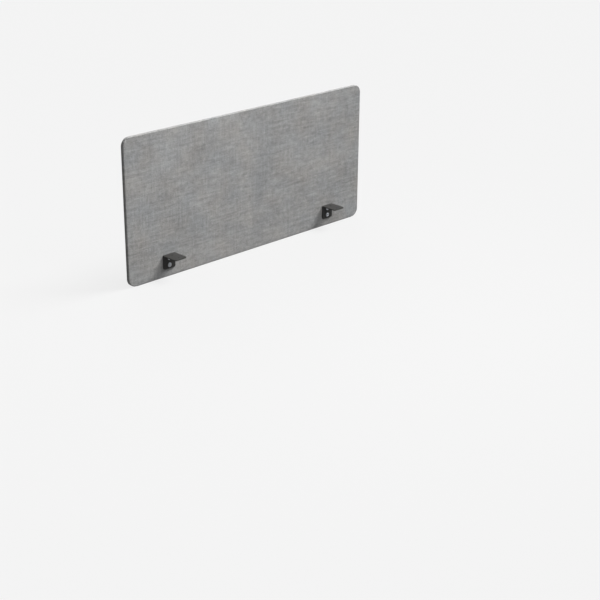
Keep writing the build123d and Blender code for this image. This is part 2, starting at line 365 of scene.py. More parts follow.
def weaveMaterial():
    material, tree, surface = newMaterial("coverWeave", **cloth["surface"])
    uv = node(tree, "ShaderNodeUVMap", uv_map="weave")
    split = node(tree, "ShaderNodeSeparateXYZ", {"Vector": uv.outputs[0]})
    x, y = split.outputs["X"], split.outputs["Y"]
    slow = spread(tree, uv.outputs[0], cloth["wobbleScale"], 1.0, "2D")
    quick = spread(tree, uv.outputs[0], cloth["jitterScale"], 1.0, "2D")
    stray = plus(tree, centred(tree, slow, cloth["wobble"]),
                 centred(tree, quick, cloth["jitter"]))
    warpPlace = plus(tree, calc(tree, "DIVIDE", x, cloth["warpPitch"]), stray)
    weftPlace = plus(tree, calc(tree, "DIVIDE", y, cloth["weftPitch"]), stray)
    warpIndex, weftIndex = calc(tree, "FLOOR", warpPlace), calc(tree, "FLOOR", weftPlace)

    # each yarn is round, and bows up or down at every crossing in turn
    parity = calc(tree, "FLOORED_MODULO", plus(tree, warpIndex, weftIndex), 2.0)
    side = calc(tree, "MULTIPLY_ADD", parity, -2.0, 1.0)
    u = centred(tree, calc(tree, "FRACT", warpPlace), 1.0)
    v = centred(tree, calc(tree, "FRACT", weftPlace), 1.0)
    bow = times(tree, side, cloth["bow"])
    warpBow = times(tree, bow, calc(tree, "COSINE", times(tree, v, math.pi)))
    weftBow = times(tree, bow, calc(tree, "COSINE", times(tree, u, math.pi)))
    warpRound = calc(tree, "MULTIPLY_ADD", times(tree, u, u), -4.0, 1.0)
    weftRound = calc(tree, "MULTIPLY_ADD", times(tree, v, v), -4.0, 1.0)
    warpZ = plus(tree, warpRound, warpBow)
    weftZ = calc(tree, "SUBTRACT", weftRound, weftBow)
    height = calc(tree, "DIVIDE", calc(tree, "MAXIMUM", warpZ, weftZ), 1 + cloth["bow"])
    isWarp = calc(tree, "GREATER_THAN", warpZ, weftZ)

    alongUp = times(tree, y, cloth["slubScale"])
    alongAcross = times(tree, x, cloth["slubScale"])
    warpTone = yarnTone(tree, warpIndex, alongUp, cloth["warpSeed"])
    weftTone = yarnTone(tree, weftIndex, alongAcross, cloth["weftSeed"])
    tone = plus(tree, blendNumber(tree, isWarp, weftTone, warpTone), 0.5)
    spot = vector(tree, warpIndex, weftIndex)
    crossing = node(tree, "ShaderNodeTexWhiteNoise", {"Vector": spot}, noise_dimensions="2D")
    tone = plus(tree, tone, centred(tree, crossing.outputs["Value"], cloth["crossingAmount"]))
    # fine fibres, twisted along whichever yarn is on top
    fibreWide, fibreLong, twist = cloth["fibres"]
    alongWarp = vector(tree, calc(tree, "MULTIPLY_ADD", y, twist, times(tree, x, fibreWide)),
                       times(tree, y, fibreLong))
    alongWeft = vector(tree, calc(tree, "MULTIPLY_ADD", x, twist, times(tree, y, fibreWide)),
                       times(tree, x, fibreLong))
    fibre = spread(tree, blendColour(tree, isWarp, alongWeft, alongWarp), 1.0, 2.0, "2D")
    tone = plus(tree, tone, centred(tree, fibre, cloth["fibreAmount"]))
    for perMetreX, perMetreY, amount in cloth["tones"]:
        stretched = vector(tree, times(tree, x, perMetreX), times(tree, y, perMetreY))
        tone = plus(tree, tone, centred(tree, spread(tree, stretched, 1.0, 2.0, "2D"), amount))
    colour = blendColour(tree, tone, cloth["darkYarn"], cloth["lightYarn"])

    # painted shade: the colour is darkened in the hollows between yarns, where shade would fall
    paintedHollowShade = node(tree, "ShaderNodeMapRange", {
        "Value": height, "From Min": 0.0, "From Max": cloth["hollowEdge"],
        "To Min": cloth["paintedHollowShade"], "To Max": 1.0,
    })
    shaded = scaled(tree, colour, paintedHollowShade.outputs[0])
    # very slight warm and cool patches
    warm = 1 + cloth["tint"]
    cool = 1 - cloth["tint"]
    patch = spread(tree, uv.outputs[0], cloth["tintPatches"], 3.0, "2D")
    tint = blendColour(tree, patch, (cool, 1.0, warm, 1), (warm, 1.0, cool, 1))
    feed(tree, surface.inputs["Base Color"], vectorCalc(tree, "MULTIPLY", shaded, tint))
    rough = plus(tree, height, times(tree, fibre, cloth["fibreDepth"]))
    bump(tree, surface, rough, cloth["bumpDistance"])
    return material


timber = {
    "pine": {
        "pale": (0.70, 0.50, 0.28, 1), "dark": (0.47, 0.28, 0.12, 1),
        "rings": 55.0, "roughness": 0.62,
    },
    "beech": {
        "pale": (0.68, 0.47, 0.29, 1), "dark": (0.52, 0.33, 0.18, 1),
        "rings": 120.0, "roughness": 0.55,
    },
    "bendScale": 9.0,
    "poreScale": 900.0,
    "lateWood": 1.8,  # how narrow the dark part of each ring is
    "shares": {"rings": 0.55, "bend": 0.3, "pores": 0.25},  # of the tone
    "ringRelief": 0.4,
    "relief": 0.00012,
}


def timberMaterial(name, kind, stretch):
    # stretch is small along the grain and one across it
    settings = timber[kind]
    material, tree, surface = newMaterial(name, Roughness=settings["roughness"])
    shares = timber["shares"]
    grain = objectPlace(tree, stretch)
    bend = spread(tree, grain, timber["bendScale"])
    wave = node(tree, "ShaderNodeTexWave", {
        "Vector": grain, "Scale": settings["rings"], "Distortion": 3.0, "Detail": 2.0,
    }, wave_type="RINGS", rings_direction="SPHERICAL")
    rings = calc(tree, "POWER", wave.outputs["Fac"], timber["lateWood"])
    pores = spread(tree, grain, timber["poreScale"])
    tone = calc(tree, "MULTIPLY_ADD", rings, shares["rings"], times(tree, bend, shares["bend"]))
    tone = calc(tree, "MULTIPLY_ADD", pores, shares["pores"], tone)
    paint(tree, surface, tone, settings["pale"], settings["dark"])
    relief = plus(tree, times(tree, rings, timber["ringRelief"]), pores)
    bump(tree, surface, relief, timber["relief"])
    return material


plywood = {
    "ply": 0.0013,
    "alongGrain": 12,  # grain marks per metre along a ply and across it
    "acrossGrain": 300,
    "layerShare": 0.35,
    "grainShare": 0.6,
    "pale": (0.72, 0.56, 0.36, 1),
    "dark": (0.42, 0.28, 0.15, 1),
    "relief": 0.0001,
}


def plywoodMaterial():
    # plies lie flat in the panel, so they show as thin layers on the sawn edges
    material, tree, surface = newMaterial("birchPlywood", Roughness=0.6)
    split = node(tree, "ShaderNodeSeparateXYZ", {"Vector": objectPlace(tree)})
    depth = calc(tree, "FLOOR", calc(tree, "DIVIDE", split.outputs["Y"], plywood["ply"]))
    layer = calc(tree, "FLOORED_MODULO", depth, 2.0)
    along, crosswise = plywood["alongGrain"], plywood["acrossGrain"]
    alongX = spread(tree, objectPlace(tree, (along, crosswise, crosswise)), 1.0, 4.0)
    alongZ = spread(tree, objectPlace(tree, (crosswise, crosswise, along)), 1.0, 4.0)
    grain = blendNumber(tree, layer, alongX, alongZ)
    tone = times(tree, grain, plywood["grainShare"])
    tone = calc(tree, "MULTIPLY_ADD", layer, plywood["layerShare"], tone)
    paint(tree, surface, tone, plywood["pale"], plywood["dark"])
    bump(tree, surface, grain, plywood["relief"])
    return material


fibres = {
    "bendEvery": 8,  # threads from one bend to the next
    "bendSize": 6,  # how far a bend goes, in threads
    "cloudEvery": 30,
    "threadShare": 0.75,
    "cloudShare": 0.3,
    "sheen": 0.2,
}


def fibreMaterial(name, dark, pale, fibreScale, roughness, depth):
    # pressed or needled fibres: fine threads lying every way, with soft clouds of tone
    settings = {"Roughness": roughness, "Sheen Weight": fibres["sheen"]}
    material, tree, surface = newMaterial(name, **settings)
    spot = objectPlace(tree)
    twist = node(tree, "ShaderNodeTexNoise", {"Vector": spot, "Scale": fibreScale / fibres["bendEvery"]})
    reach = (fibres["bendSize"] / fibreScale,) * 3
    bent = vectorCalc(tree, "MULTIPLY_ADD", twist.outputs["Color"], reach, spot)
    threads = spread(tree, bent, fibreScale, 4.0, roughness=0.7)
    clouds = spread(tree, spot, fibreScale / fibres["cloudEvery"], 3.0)
    tone = times(tree, clouds, fibres["cloudShare"])
    tone = calc(tree, "MULTIPLY_ADD", threads, fibres["threadShare"], tone)
    paint(tree, surface, tone, dark, pale)
    bump(tree, surface, threads, depth)
    return material


powderCoatLook = {
    "pitScale": 1400.0,
    "cloudScale": 60.0,
    "dark": (0.020, 0.019, 0.018, 1),
    "pale": (0.032, 0.031, 0.029, 1),
    "roughness": 0.42,
    "unevenness": 0.16,
    "pitDepth": 0.00008,
    "pitStrength": 0.8,
}


def powderCoatMaterial():
    # fine-textured powder coat: small soft pits and a slightly worn sheen
    material, tree, surface = newMaterial("blackPowderCoat")
    look, spot = powderCoatLook, objectPlace(tree)
    pits = spread(tree, spot, look["pitScale"], 3.0, roughness=0.6)
    clouds = spread(tree, spot, look["cloudScale"], 3.0)
    paint(tree, surface, clouds, look["dark"], look["pale"])
    roughen(tree, surface, clouds, look["unevenness"], look["roughness"])
    bump(tree, surface, pits, look["pitDepth"], look["pitStrength"])
    return material


plating = {
    "cloudEvery": 12,  # grains to a cloud
    "marksPerGrain": 3,
    "markStretch": (1, 0.08, 1),  # draw marks run along Y
    "brighter": 1.12,  # the pale clouds against the dark
    "unevenness": 0.22,
    "relief": 0.00002,
}


def platedMaterial(name, colour, grainScale, roughness):
    # zinc plate: a bright metal with faint blue-grey clouds and fine draw marks
    material, tree, surface = newMaterial(name, Metallic=1.0)
    clouds = spread(tree, objectPlace(tree), grainScale / plating["cloudEvery"], 3.0)
    drawn = objectPlace(tree, plating["markStretch"])
    marks = spread(tree, drawn, grainScale * plating["marksPerGrain"], 3.0)
    pale = tuple(min(1.0, c * plating["brighter"]) for c in colour[:3]) + (1,)
    paint(tree, surface, clouds, colour, pale)
    roughen(tree, surface, marks, plating["unevenness"], roughness)
    bump(tree, surface, marks, plating["relief"])
    return material


moulded = {"grainScale": 1800.0, "cloudScale": 40.0, "unevenness": 0.15, "relief": 0.00003}


def mouldedMaterial(name, dark, pale, roughness):
    # plain moulded or extruded plastic with a fine satin grain
    material, tree, surface = newMaterial(name)
    spot = objectPlace(tree)
    grain = spread(tree, spot, moulded["grainScale"])
    paint(tree, surface, spread(tree, spot, moulded["cloudScale"]), dark, pale)
    roughen(tree, surface, grain, moulded["unevenness"], roughness)
    bump(tree, surface, grain, moulded["relief"])
    return material


skinGrid = {
    "cornerCells": 14,  # cells across each rounded corner, each way
    "cellSize": 0.02,  # cells on the flat
    "edgeSteps": 6,  # round the soft edge
    "wallSteps": 3,
    "lipSteps": 4,  # where the cloth turns into the kerf
    "hemSteps": 3,
    "kerfFrom": 25,  # degrees round a bottom corner where the kerf is at its full depth
}


def stops(half, radius):
    # positions along one side: the straight's coordinate, and how far into the corner (-1 to 1)
    corner = skinGrid["cornerCells"]
    straight = half - radius
    count = max(2, round(2 * straight / skinGrid["cellSize"]))
    low = [(-straight, -1 + k / corner) for k in range(corner)]
    flat = [(-straight + 2 * straight * k / count, 0.0) for k in range(count + 1)]
    high = [(straight, (k + 1) / corner) for k in range(corner)]
    return low + flat + high


def faceGrid(inset):
    # a rounded rectangle as a grid, with each corner square pressed into a quarter disc
    radius = panel["cornerRadius"] - inset
    columns = stops(panel["halfWidth"] - inset, radius)
    rows = stops(panel["halfHeight"] - inset, radius)
    points, normals = {}, {}
    for j, (baseZ, b) in enumerate(rows):
        for i, (baseX, a) in enumerate(columns):
            outX = a * math.sqrt(1 - b * b / 2)
            outZ = b * math.sqrt(1 - a * a / 2)
            x = panel["centreX"] + baseX + radius * outX
            z = panel["centreZ"] + baseZ + radius * outZ
            points[i, j] = (x, z)
            normals[i, j] = (outX, outZ)
    lastI, lastJ = len(columns) - 1, len(rows) - 1
    rim = [(i, 0) for i in range(lastI)] + [(lastI, j) for j in range(lastJ)]
    rim += [(i, lastJ) for i in range(lastI, 0, -1)] + [(0, j) for j in range(lastJ, 0, -1)]
    return points, normals, rim, lastI, lastJ


def pressed(x, z, settings):
    # how far the padded face gives way here, in metres
    swells = settings["swells"]
    give = settings["unevenness"] * noise.noise(Vector((x * swells, z * swells, settings["seed"])))
    sideGap = panel["halfWidth"] - abs(x - panel["centreX"])
    endGap = panel["halfHeight"] - abs(z - panel["centreZ"])
    give += settings["edgeGive"] * math.exp(-max(min(sideGap, endGap), 0.0) / settings["edgeFade"])
    for box in settings["pressedBy"]:
        outside = max(box[0].x - x, x - box[1].x, box[0].z - z, z - box[1].z, 0.0)
        near = max(0.0, 1 - outside / settings["pressReach"]) ** 2
        give = give * (1 - near) + settings["pressDepth"] * near
    return give


def kerfShare(normal):
    # 0 under the bottom rail, where the hem lies flat, rising to 1 where it turns into the kerf
    nx, nz = normal
    if nz > 0:
        return 1.0
    turned = math.atan2(abs(nx), -nz)
    return min(1.0, turned / math.radians(skinGrid["kerfFrom"]))


def skinMesh(name, settings):
    # a skin from the face outwards: the flat, the soft edge, the wall, then the hem
    edge, faceY, inward = settings["edgeRadius"], settings["faceY"], settings["inward"]
    points, normals, rim, lastI, lastJ = faceGrid(settings["inset"] + edge)
    mesh = bmesh.new()
    uvLayer = mesh.loops.layers.uv.new("weave")
    flatPlace, grid = {}, {}
    for key, (x, z) in points.items():
        grid[key] = mesh.verts.new((x, faceY + inward * pressed(x, z, settings), z))
        flatPlace[grid[key]] = (x, z)
    for j in range(lastJ):
        for i in range(lastI):
            mesh.faces.new((grid[i, j], grid[i + 1, j], grid[i + 1, j + 1], grid[i, j + 1]))
    ring = [grid[key] for key in rim]
    startGive = [(v.co.y - faceY) * inward for v in ring]
    travelled = [0.0] * len(rim)
    last = [(0.0, 0.0)] * len(rim)
    for kerfPlace, flatHem in zip(settings["profile"], settings["flatProfile"]):
        nextRing = []
        for k, key in enumerate(rim):
            nx, nz = normals[key]
            x, z = points[key]
            share = kerfShare(normals[key])
            out = kerfPlace[0] * share + flatHem[0] * (1 - share)
            depth = kerfPlace[1] * share + flatHem[1] * (1 - share)
            travelled[k] += math.hypot(out - last[k][0], depth - last[k][1])
            last[k] = (out, depth)
            turned = min(1.0, depth / edge)
            folds = math.sin(math.atan2(nz, nx) * settings["folds"])
            out += settings["gather"] * min(1.0, 4 * abs(nx * nz)) * turned * folds
            y = faceY + inward * (depth + startGive[k] * (1 - turned))
            made = mesh.verts.new((x + nx * out, y, z + nz * out))
            flatPlace[made] = (x + nx * travelled[k], z + nz * travelled[k])
            nextRing.append(made)
        for k in range(len(ring)):
            after = (k + 1) % len(ring)
            mesh.faces.new((ring[k], nextRing[k], nextRing[after], ring[after]))
        ring = nextRing
    if settings["closed"]:
        closeBack(mesh, ring, settings, flatPlace)
    bmesh.ops.recalc_face_normals(mesh, faces=mesh.faces)
    if grid[0, 0].link_faces[0].normal.y * inward > 0:
        bmesh.ops.reverse_faces(mesh, faces=mesh.faces)
    for face in mesh.faces:
        face.smooth = True
        for loop in face.loops:
            loop[uvLayer].uv = flatPlace[loop.vert]
    return keepMesh(name, mesh)


def closeBack(mesh, ring, settings, flatPlace):
    # the flat underside of a wadding, on the same grid as its face
    y = settings["faceY"] + settings["inward"] * settings["profile"][-1][1]
    points, _, rim, lastI, lastJ = faceGrid(settings["inset"])
    grid = dict(zip(rim, ring))
    for key, (x, z) in points.items():
        if key not in grid:
            grid[key] = mesh.verts.new((x, y, z))
            flatPlace[grid[key]] = (x, z)
    for j in range(lastJ):
        for i in range(lastI):
            mesh.faces.new((grid[i, j + 1], grid[i + 1, j + 1], grid[i + 1, j], grid[i, j]))


def quarterRound(radius):
    return [(radius * out, radius * back) for out, back in quarterTurn(skinGrid["edgeSteps"], 1)]


def hemProfiles(edge, hemDepth, lip, tuck):
    # (outward, depth) pairs: quarter round, wall, then either round the kerf's lip and in, or flat on
    start = quarterRound(edge)
    wallEnd = hemDepth - lip
    for k in range(1, skinGrid["wallSteps"] + 1):
        start.append((edge, edge + (wallEnd - edge) * k / skinGrid["wallSteps"]))
    kerf, flat = [], []
    for out, back in quarterTurn(skinGrid["lipSteps"], 1):
        kerf.append((edge - lip * back, wallEnd + lip * out))
    for k in range(1, skinGrid["hemSteps"] + 1):
        kerf.append((edge - lip - tuck * k / skinGrid["hemSteps"], hemDepth))
    for k in range(len(kerf)):
        flat.append((edge, wallEnd + lip * (k + 1) / len(kerf)))
    return start + kerf, start + flat


bushHole = {"segments": 32, "slack": 1.01, "depth": 0.02}


def bushHoles():
    # four short plugs where the spacer bushes pass through the soft layers
    mesh = bmesh.new()
    radius = (across(bushBox)[2] - screwRows) / 2
    plug = radius * bushHole["slack"]
    for x in (bushBox[0].x + radius, bushBox[1].x - radius):
        for z in (bushBox[0].z + radius, bushBox[1].z - radius):
            turned = Matrix.Translation((x, bushBox[0].y, z)) @ Matrix.Rotation(math.pi / 2, 4, "X")
            bmesh.ops.create_cone(
                mesh, cap_ends=True, segments=bushHole["segments"],
                radius1=plug, radius2=plug, depth=bushHole["depth"], matrix=turned,
            )
    return place("bushHoles", keepMesh("bushHoles", mesh))


def cutHoles(piece):
    cutter = bushHoles()
    holes = piece.modifiers.new("holes", "BOOLEAN")
    holes.operation = "DIFFERENCE"
    holes.solver = "EXACT"
    holes.object = cutter
    made = settle(piece)
    bpy.data.objects.remove(cutter)
    return made


cover = {
    "thickness": 0.0008,
    "edgeRadius": 0.0028,
    "lip": 0.0010,  # radius where the cloth turns into the kerf
    "tuck": 0.0028,  # hem pushed into the kerf
    "unevenness": 0.00012,
    "swells": 7,  # soft rises and dips per metre
    "edgeGive": 0.00006,  # the cloth pulls down a little towards the edge
    "edgeFade": 0.012,
    "gather": 0.00006,
    "folds": 72,
    "pressDepth": 0.0003,  # under a bracket
    "pressReach": 0.012,  # how far round a bracket the cloth is drawn in
}

wadding = {
    "thickness": 0.00168,
    "gap": 0.00001,  # from the cloth's inner side
}

screwRows = 0.030  # between the upper and the lower screw of a bracket


def makeCover(name, faceY, rimY, inward, seed, pressedBy=()):
    profile, flatProfile = hemProfiles(
        cover["edgeRadius"], abs(rimY - faceY) + cover["thickness"], cover["lip"], cover["tuck"]
    )
    settings = dict(cover, inset=0.0, faceY=faceY, inward=inward, seed=seed, pressedBy=pressedBy,
                    profile=profile, flatProfile=flatProfile, closed=False)
    piece = place(name, skinMesh(name, settings), weave)
    solid = piece.modifiers.new("cloth", "SOLIDIFY")
    solid.thickness = cover["thickness"]
    solid.offset = -1
    return cutHoles(piece) if pressedBy else settle(piece)


def makeWadding(name, faceY, inward, seed, pressedBy=()):
    inset = cover["thickness"] + wadding["gap"]
    profile = quarterRound(wadding["thickness"])
    settings = dict(cover, inset=inset, edgeRadius=wadding["thickness"], faceY=faceY + inward * inset,
                    inward=inward, seed=seed, pressedBy=pressedBy, gather=0.0,
                    profile=profile, flatProfile=profile, closed=True)
    piece = place(name, skinMesh(name, settings), waddingFelt)
    return cutHoles(piece) if pressedBy else piece


weave = weaveMaterial()
waddingFelt = fibreMaterial(
    "whiteWadding", (0.60, 0.60, 0.58, 1), (0.86, 0.86, 0.84, 1), 700.0, 0.95, 0.0002
)
frontWadding = makeWadding("front_wadding", panel["frontY"], 1, 2.0, bracketBoxes)
backWadding = makeWadding("back_wadding", panel["backY"], -1, 9.0)
frontCover = makeCover("front_cover", panel["frontY"], frontBox[1].y, 1, 2.0, bracketBoxes)
backCover = makeCover("back_cover", panel["backY"], backBox[0].y, -1, 9.0)
for piece, cadNode in ((frontWadding, "front_padding"), (backWadding, "back_padding")):
    finishPiece(piece, "wadding", cadNode)
for piece, cadNode, under in (
    (frontCover, "front_fabric", frontWadding),
    (backCover, "back_fabric", backWadding),
):
    finishPiece(piece, "cover_fabric", cadNode)
print("covers and waddings made")


edgeCord = {
    "radius": 0.00078,
    "ribs": 8,
    "ribDepth": 0.0001,
    "inset": 0.0024,  # from the panel's outline to the cord's middle
    "endInset": 0.0009,  # the same where the kerf runs out
    "wander": 0.00025,  # how unevenly it was pressed in
    "wanderScale": 14.0,  # strays per metre
    "seed": 4.0,
    "runOut": 0.004,  # how far the cord goes on under the strip
    "arcSteps": 14,
    "straightStep": 0.025,
}


def cordPath():
    # round three sides and all four corners, from one end of the bottom straight to the other
    straightX = panel["halfWidth"] - panel["cornerRadius"]
    straightZ = panel["halfHeight"] - panel["cornerRadius"]
    corners = ((-straightX, -straightZ, 270), (-straightX, straightZ, 180),
               (straightX, straightZ, 90), (straightX, -straightZ, 0))
    points = []
    for x, z, degrees in corners:
        arc = []
        for k in range(edgeCord["arcSteps"] + 1):
            turn = math.radians(degrees - 90 * k / edgeCord["arcSteps"])
            outX, outZ = math.cos(turn), math.sin(turn)
            # the kerf runs out towards the strip, so the cord comes up to the surface there
            share = kerfShare((outX, outZ))
            inset = edgeCord["inset"] * share + edgeCord["endInset"] * (1 - share)
            radius = panel["cornerRadius"] - inset
            arc.append(Vector((x + radius * outX, 0, z + radius * outZ)))
        if points:
            run = arc[0] - points[-1]
            count = int(run.length / edgeCord["straightStep"])
            points += [points[-1] + run * k / count for k in range(1, count)]
        points += arc
    under = Vector((edgeCord["runOut"], 0, 0))
    points = [points[0] + under] + points + [points[-1] - under]
    return [p + Vector((panel["centreX"], panel["middleY"], panel["centreZ"])) for p in points]


def cordTree():
    tree, inputs = newShapeTree("ribbedCord", {
        "radius": "Float", "ribDepth": "Float", "ribs": "Int", "wander": "Float", "seed": "Float",
        "material": "Material",
    })
    spot = node(tree, "GeometryNodeInputPosition")
    moved = node(tree, "ShaderNodeTexNoise", {
        "Vector": spot.outputs[0], "Scale": edgeCord["wanderScale"],
    }, noise_dimensions="4D")
    feed(tree, moved.inputs["W"], inputs["seed"])
    shift = vectorCalc(tree, "SUBTRACT", moved.outputs["Color"], (0.5, 0.5, 0.5))
    upright = vectorCalc(tree, "MULTIPLY", shift, (1, 0, 1))
    path = node(tree, "GeometryNodeSetPosition", {
        "Geometry": inputs["Geometry"], "Offset": scaled(tree, upright, inputs["wander"]),
    })
    inner = calc(tree, "SUBTRACT", inputs["radius"], inputs["ribDepth"])
    ribbed = node(tree, "GeometryNodeCurveStar", {
        "Points": inputs["ribs"], "Inner Radius": inner, "Outer Radius": inputs["radius"],
    })
    tube = node(tree, "GeometryNodeCurveToMesh", {
        "Curve": path.outputs[0], "Profile Curve": ribbed.outputs[0], "Fill Caps": True,
    })
    endShapeTree(tree, tube.outputs[0], inputs["material"])
    return tree


def makeEdgeCord():
    data = bpy.data.curves.new("edge_cord", "CURVE")
    data.dimensions = "3D"
    path = cordPath()
    line = data.splines.new("POLY")
    line.points.add(len(path) - 1)
    for point, spot in zip(line.points, path):
        point.co = (*spot, 1)
    values = {key: edgeCord[key] for key in ("radius", "ribDepth", "ribs", "wander", "seed")}
    piece = grow(place("edge_cord", data), cordTree(), dict(values, material=cordVinyl))
    finishPiece(piece, "spline_cord", "edge_spline")


cordVinyl = mouldedMaterial("greyCordVinyl", (0.060, 0.060, 0.062, 1), (0.085, 0.085, 0.087, 1), 0.5)
makeEdgeCord()
print("edge cord made")


zinc = platedMaterial("brightZinc", (0.62, 0.64, 0.67, 1), 500.0, 0.28)
repeats = repeatTree()

screw = {
    "segments": 24,
    "headRadius": 0.00525,
    "headHeight": 0.0033,
    "dome": 0.0026,
    "socketHalf": 0.0020,  # half across the flats
    "socketDepth": 0.0021,
    "socketEdge": 0.00015,
    "rimEdge": 0.00012,
    "radius": 0.0030,
    "length": 0.0160,
    "pitch": 0.0010,
    "threadDepth": 0.00055,
    "rowsPerTurn": 6,
    "domeSteps": 7,
    "threadStart": 0.0005,  # from the head
    "threadStop": 0.0009,  # from the tip
    "tipBevel": 0.0008,
    "turns": 3.1,  # the most that a screw's socket is turned from upright, in radians
    "seed": 5,
}


fastenerSmoothing = 35  # degrees between faces that shade as one


def hexRadius(apothem):
    # distance from the axis to a hexagon's side, for each turn
    sixth = math.pi / 3
    return lambda turn: apothem / math.cos((turn + sixth / 2) % sixth - sixth / 2)


def screwMesh():
    count, top = screw["segments"], -screw["headHeight"]
    floorY, lipY = top + screw["socketDepth"], top + screw["socketEdge"]
    rings = [
        roundRing(floorY, hexRadius(screw["socketHalf"]), count),
        roundRing(lipY, hexRadius(screw["socketHalf"]), count),
        roundRing(top, hexRadius(screw["socketHalf"] + screw["socketEdge"]), count),
    ]
    flatRadius = screw["headRadius"] - screw["dome"]
    for out, back in quarterTurn(screw["domeSteps"]):
        rings.append(roundRing(top + screw["dome"] * back, flatRadius + screw["dome"] * out, count))
    rings.append(roundRing(-screw["rimEdge"], screw["headRadius"], count))
    rings.append(roundRing(0.0, screw["headRadius"] - screw["rimEdge"], count))
    rings.append(roundRing(0.0, screw["radius"], count))
    # the thread winds along the shank and fades in below the head
    step = screw["pitch"] / screw["rowsPerTurn"]
    start, end = screw["threadStart"], screw["length"] - screw["threadStop"]
    for row in range(int((end - start) / step) + 1):
        y = start + row * step
        fade = min(1.0, (y - start) / screw["pitch"])

        def threadRadius(turn, y=y, fade=fade):
            part = (y / screw["pitch"] - turn / (2 * math.pi)) % 1.0
            return screw["radius"] - screw["threadDepth"] * fade * (1 - abs(2 * part - 1))

        rings.append(roundRing(y, threadRadius, count))
    rings.append(roundRing(screw["length"], screw["radius"] - screw["tipBevel"], count))
    return ringMesh("bracket_screw_set", rings)


def growFour(piece, box, radius, y, turns, seed):
    # the same fastener at all four screw places of the two brackets
    return grow(piece, repeats, {
        "countAcross": 2, "countUp": 2,
        "lengthAcross": across(box)[0] - 2 * radius,
        "lengthUp": screwRows,
        "gridTurn": (math.pi / 2, 0, 0),
        "centre": (middle(box)[0], y, middle(box)[2]),
        "looseTurn": (0, turns, 0),
        "seed": seed, "material": zinc,
    })


def makeScrews():
    piece = place("bracket_screw_set", screwMesh())
    seatY = screwBox[0].y + screw["headHeight"]
    piece = growFour(piece, screwBox, screw["headRadius"], seatY, screw["turns"], screw["seed"])
    finishPiece(piece, "fastener_zinc", "bracket_screws")
    smoothByAngle(piece, fastenerSmoothing)


washer = {
    "segments": 48,
    "hole": 0.0032,
    "rolledEdge": 0.00035,  # the punched edge is round on one side
    "sharpEdge": 0.0001,
    "rollSteps": 3,
    "seed": 8,
}


def makeWashers():
    outer = (across(washerBox)[2] - screwRows) / 2
    thick = across(washerBox)[1]
    rolled, sharp, hole = washer["rolledEdge"], washer["sharpEdge"], washer["hole"]
    profile = [(hole, sharp), (hole + sharp, 0.0)]
    for out, back in quarterTurn(washer["rollSteps"]):
        profile.append((outer - rolled * (1 - out), rolled * back))
    profile += [(outer, thick - sharp), (outer - sharp, thick), (hole + sharp, thick), (hole, thick - sharp)]
    rings = [roundRing(y, r, washer["segments"]) for r, y in profile]
    piece = place("bracket_washer_set", ringMesh("bracket_washer_set", rings, loop=True))
    piece = growFour(piece, washerBox, outer, washerBox[0].y, math.pi, washer["seed"])
    finishPiece(piece, "fastener_zinc", "bracket_washers")
    smoothByAngle(piece, fastenerSmoothing)


staple = {
    "crown": 0.010,
    "leg": 0.006,
    "wireWidth": 0.0012,
    "wireThickness": 0.0005,
    "shoulder": 0.0007,
    "bendSteps": 4,
    "pointLength": 0.001,
    "pointWidth": 0.2,  # of the wire's thickness
    "perRow": 24,
    "looseTurn": (0.0, 0.02, 0.05),  # how far a staple sits out of line, in radians
    "seed": 12,
}


def stapleMesh():
    # a flat wire bent twice, with chisel points; its crown lies at the lowest point
    half = staple["wireThickness"] / 2
    side = staple["crown"] / 2 - half
    bend = staple["shoulder"]
    line = [(-side, staple["leg"], staple["pointWidth"]), (-side, staple["leg"] - staple["pointLength"], 1.0)]
    for out, back in quarterTurn(staple["bendSteps"]):
        line.append((-side + bend * back, half + bend * (1 - out), 1.0))
    line += [(-x, z, wide) for x, z, wide in reversed(line)]
    rings = []
    for k, (x, z, wide) in enumerate(line):
        before, after = line[max(k - 1, 0)], line[min(k + 1, len(line) - 1)]
        along = Vector((after[0] - before[0], 0, after[1] - before[1])).normalized()
        up = Vector((-along.z, 0, along.x)) * half * wide
        out = Vector((0, staple["wireWidth"] / 2, 0))
        spot = Vector((x, 0, z))
        rings.append([spot + up + out, spot + up - out, spot - up - out, spot - up + out])
    return ringMesh("hem_staples", rings)


def makeStaples():
    piece = place("hem_staples", stapleMesh())
    piece = grow(piece, repeats, {
        "countAcross": staple["perRow"], "countUp": 2,
        "lengthAcross": across(stapleBox)[0] - staple["crown"],
        "lengthUp": across(stapleBox)[1] - staple["wireWidth"],
        "gridTurn": (0, 0, 0),
        "centre": (*middle(stapleBox)[:2], stapleBox[0].z),
        "looseTurn": staple["looseTurn"],
        "seed": staple["seed"], "material": stapleWire,
    })
    finishPiece(piece, "staple_steel", "bottom_staples")


def smoothByAngle(piece, degrees):
    # smooth shading that keeps edges sharper than the angle
    mesh = bmesh.new()
    mesh.from_mesh(piece.data)
    for face in mesh.faces:
        face.smooth = True
    for edge in mesh.edges:
        edge.smooth = len(edge.link_faces) == 2 and edge.calc_face_angle() < math.radians(degrees)
    mesh.to_mesh(piece.data)
    mesh.free()


stapleWire = platedMaterial("galvanisedWire", (0.45, 0.46, 0.48, 1), 900.0, 0.4)
makeScrews()
makeWashers()
makeStaples()
print("screws, washers and staples made")


hemStrip = {
    "columns": 180,
    "rows": 8,
    "thickness": 0.0007,
    "wave": 0.0002,  # how unevenly the tape lies
    "waves": (40, 200),  # waves per metre along it and across it
    "edgeWave": 0.0002,  # how unevenly it was cut
    "edgeWaves": 90,
    "endWidth": 0.02,  # square of the least part of the width, at the round ends
    "gap": 0.00002,  # to the covers above
    "edgePower": 4,  # how sharply the tape comes up at its edges
}


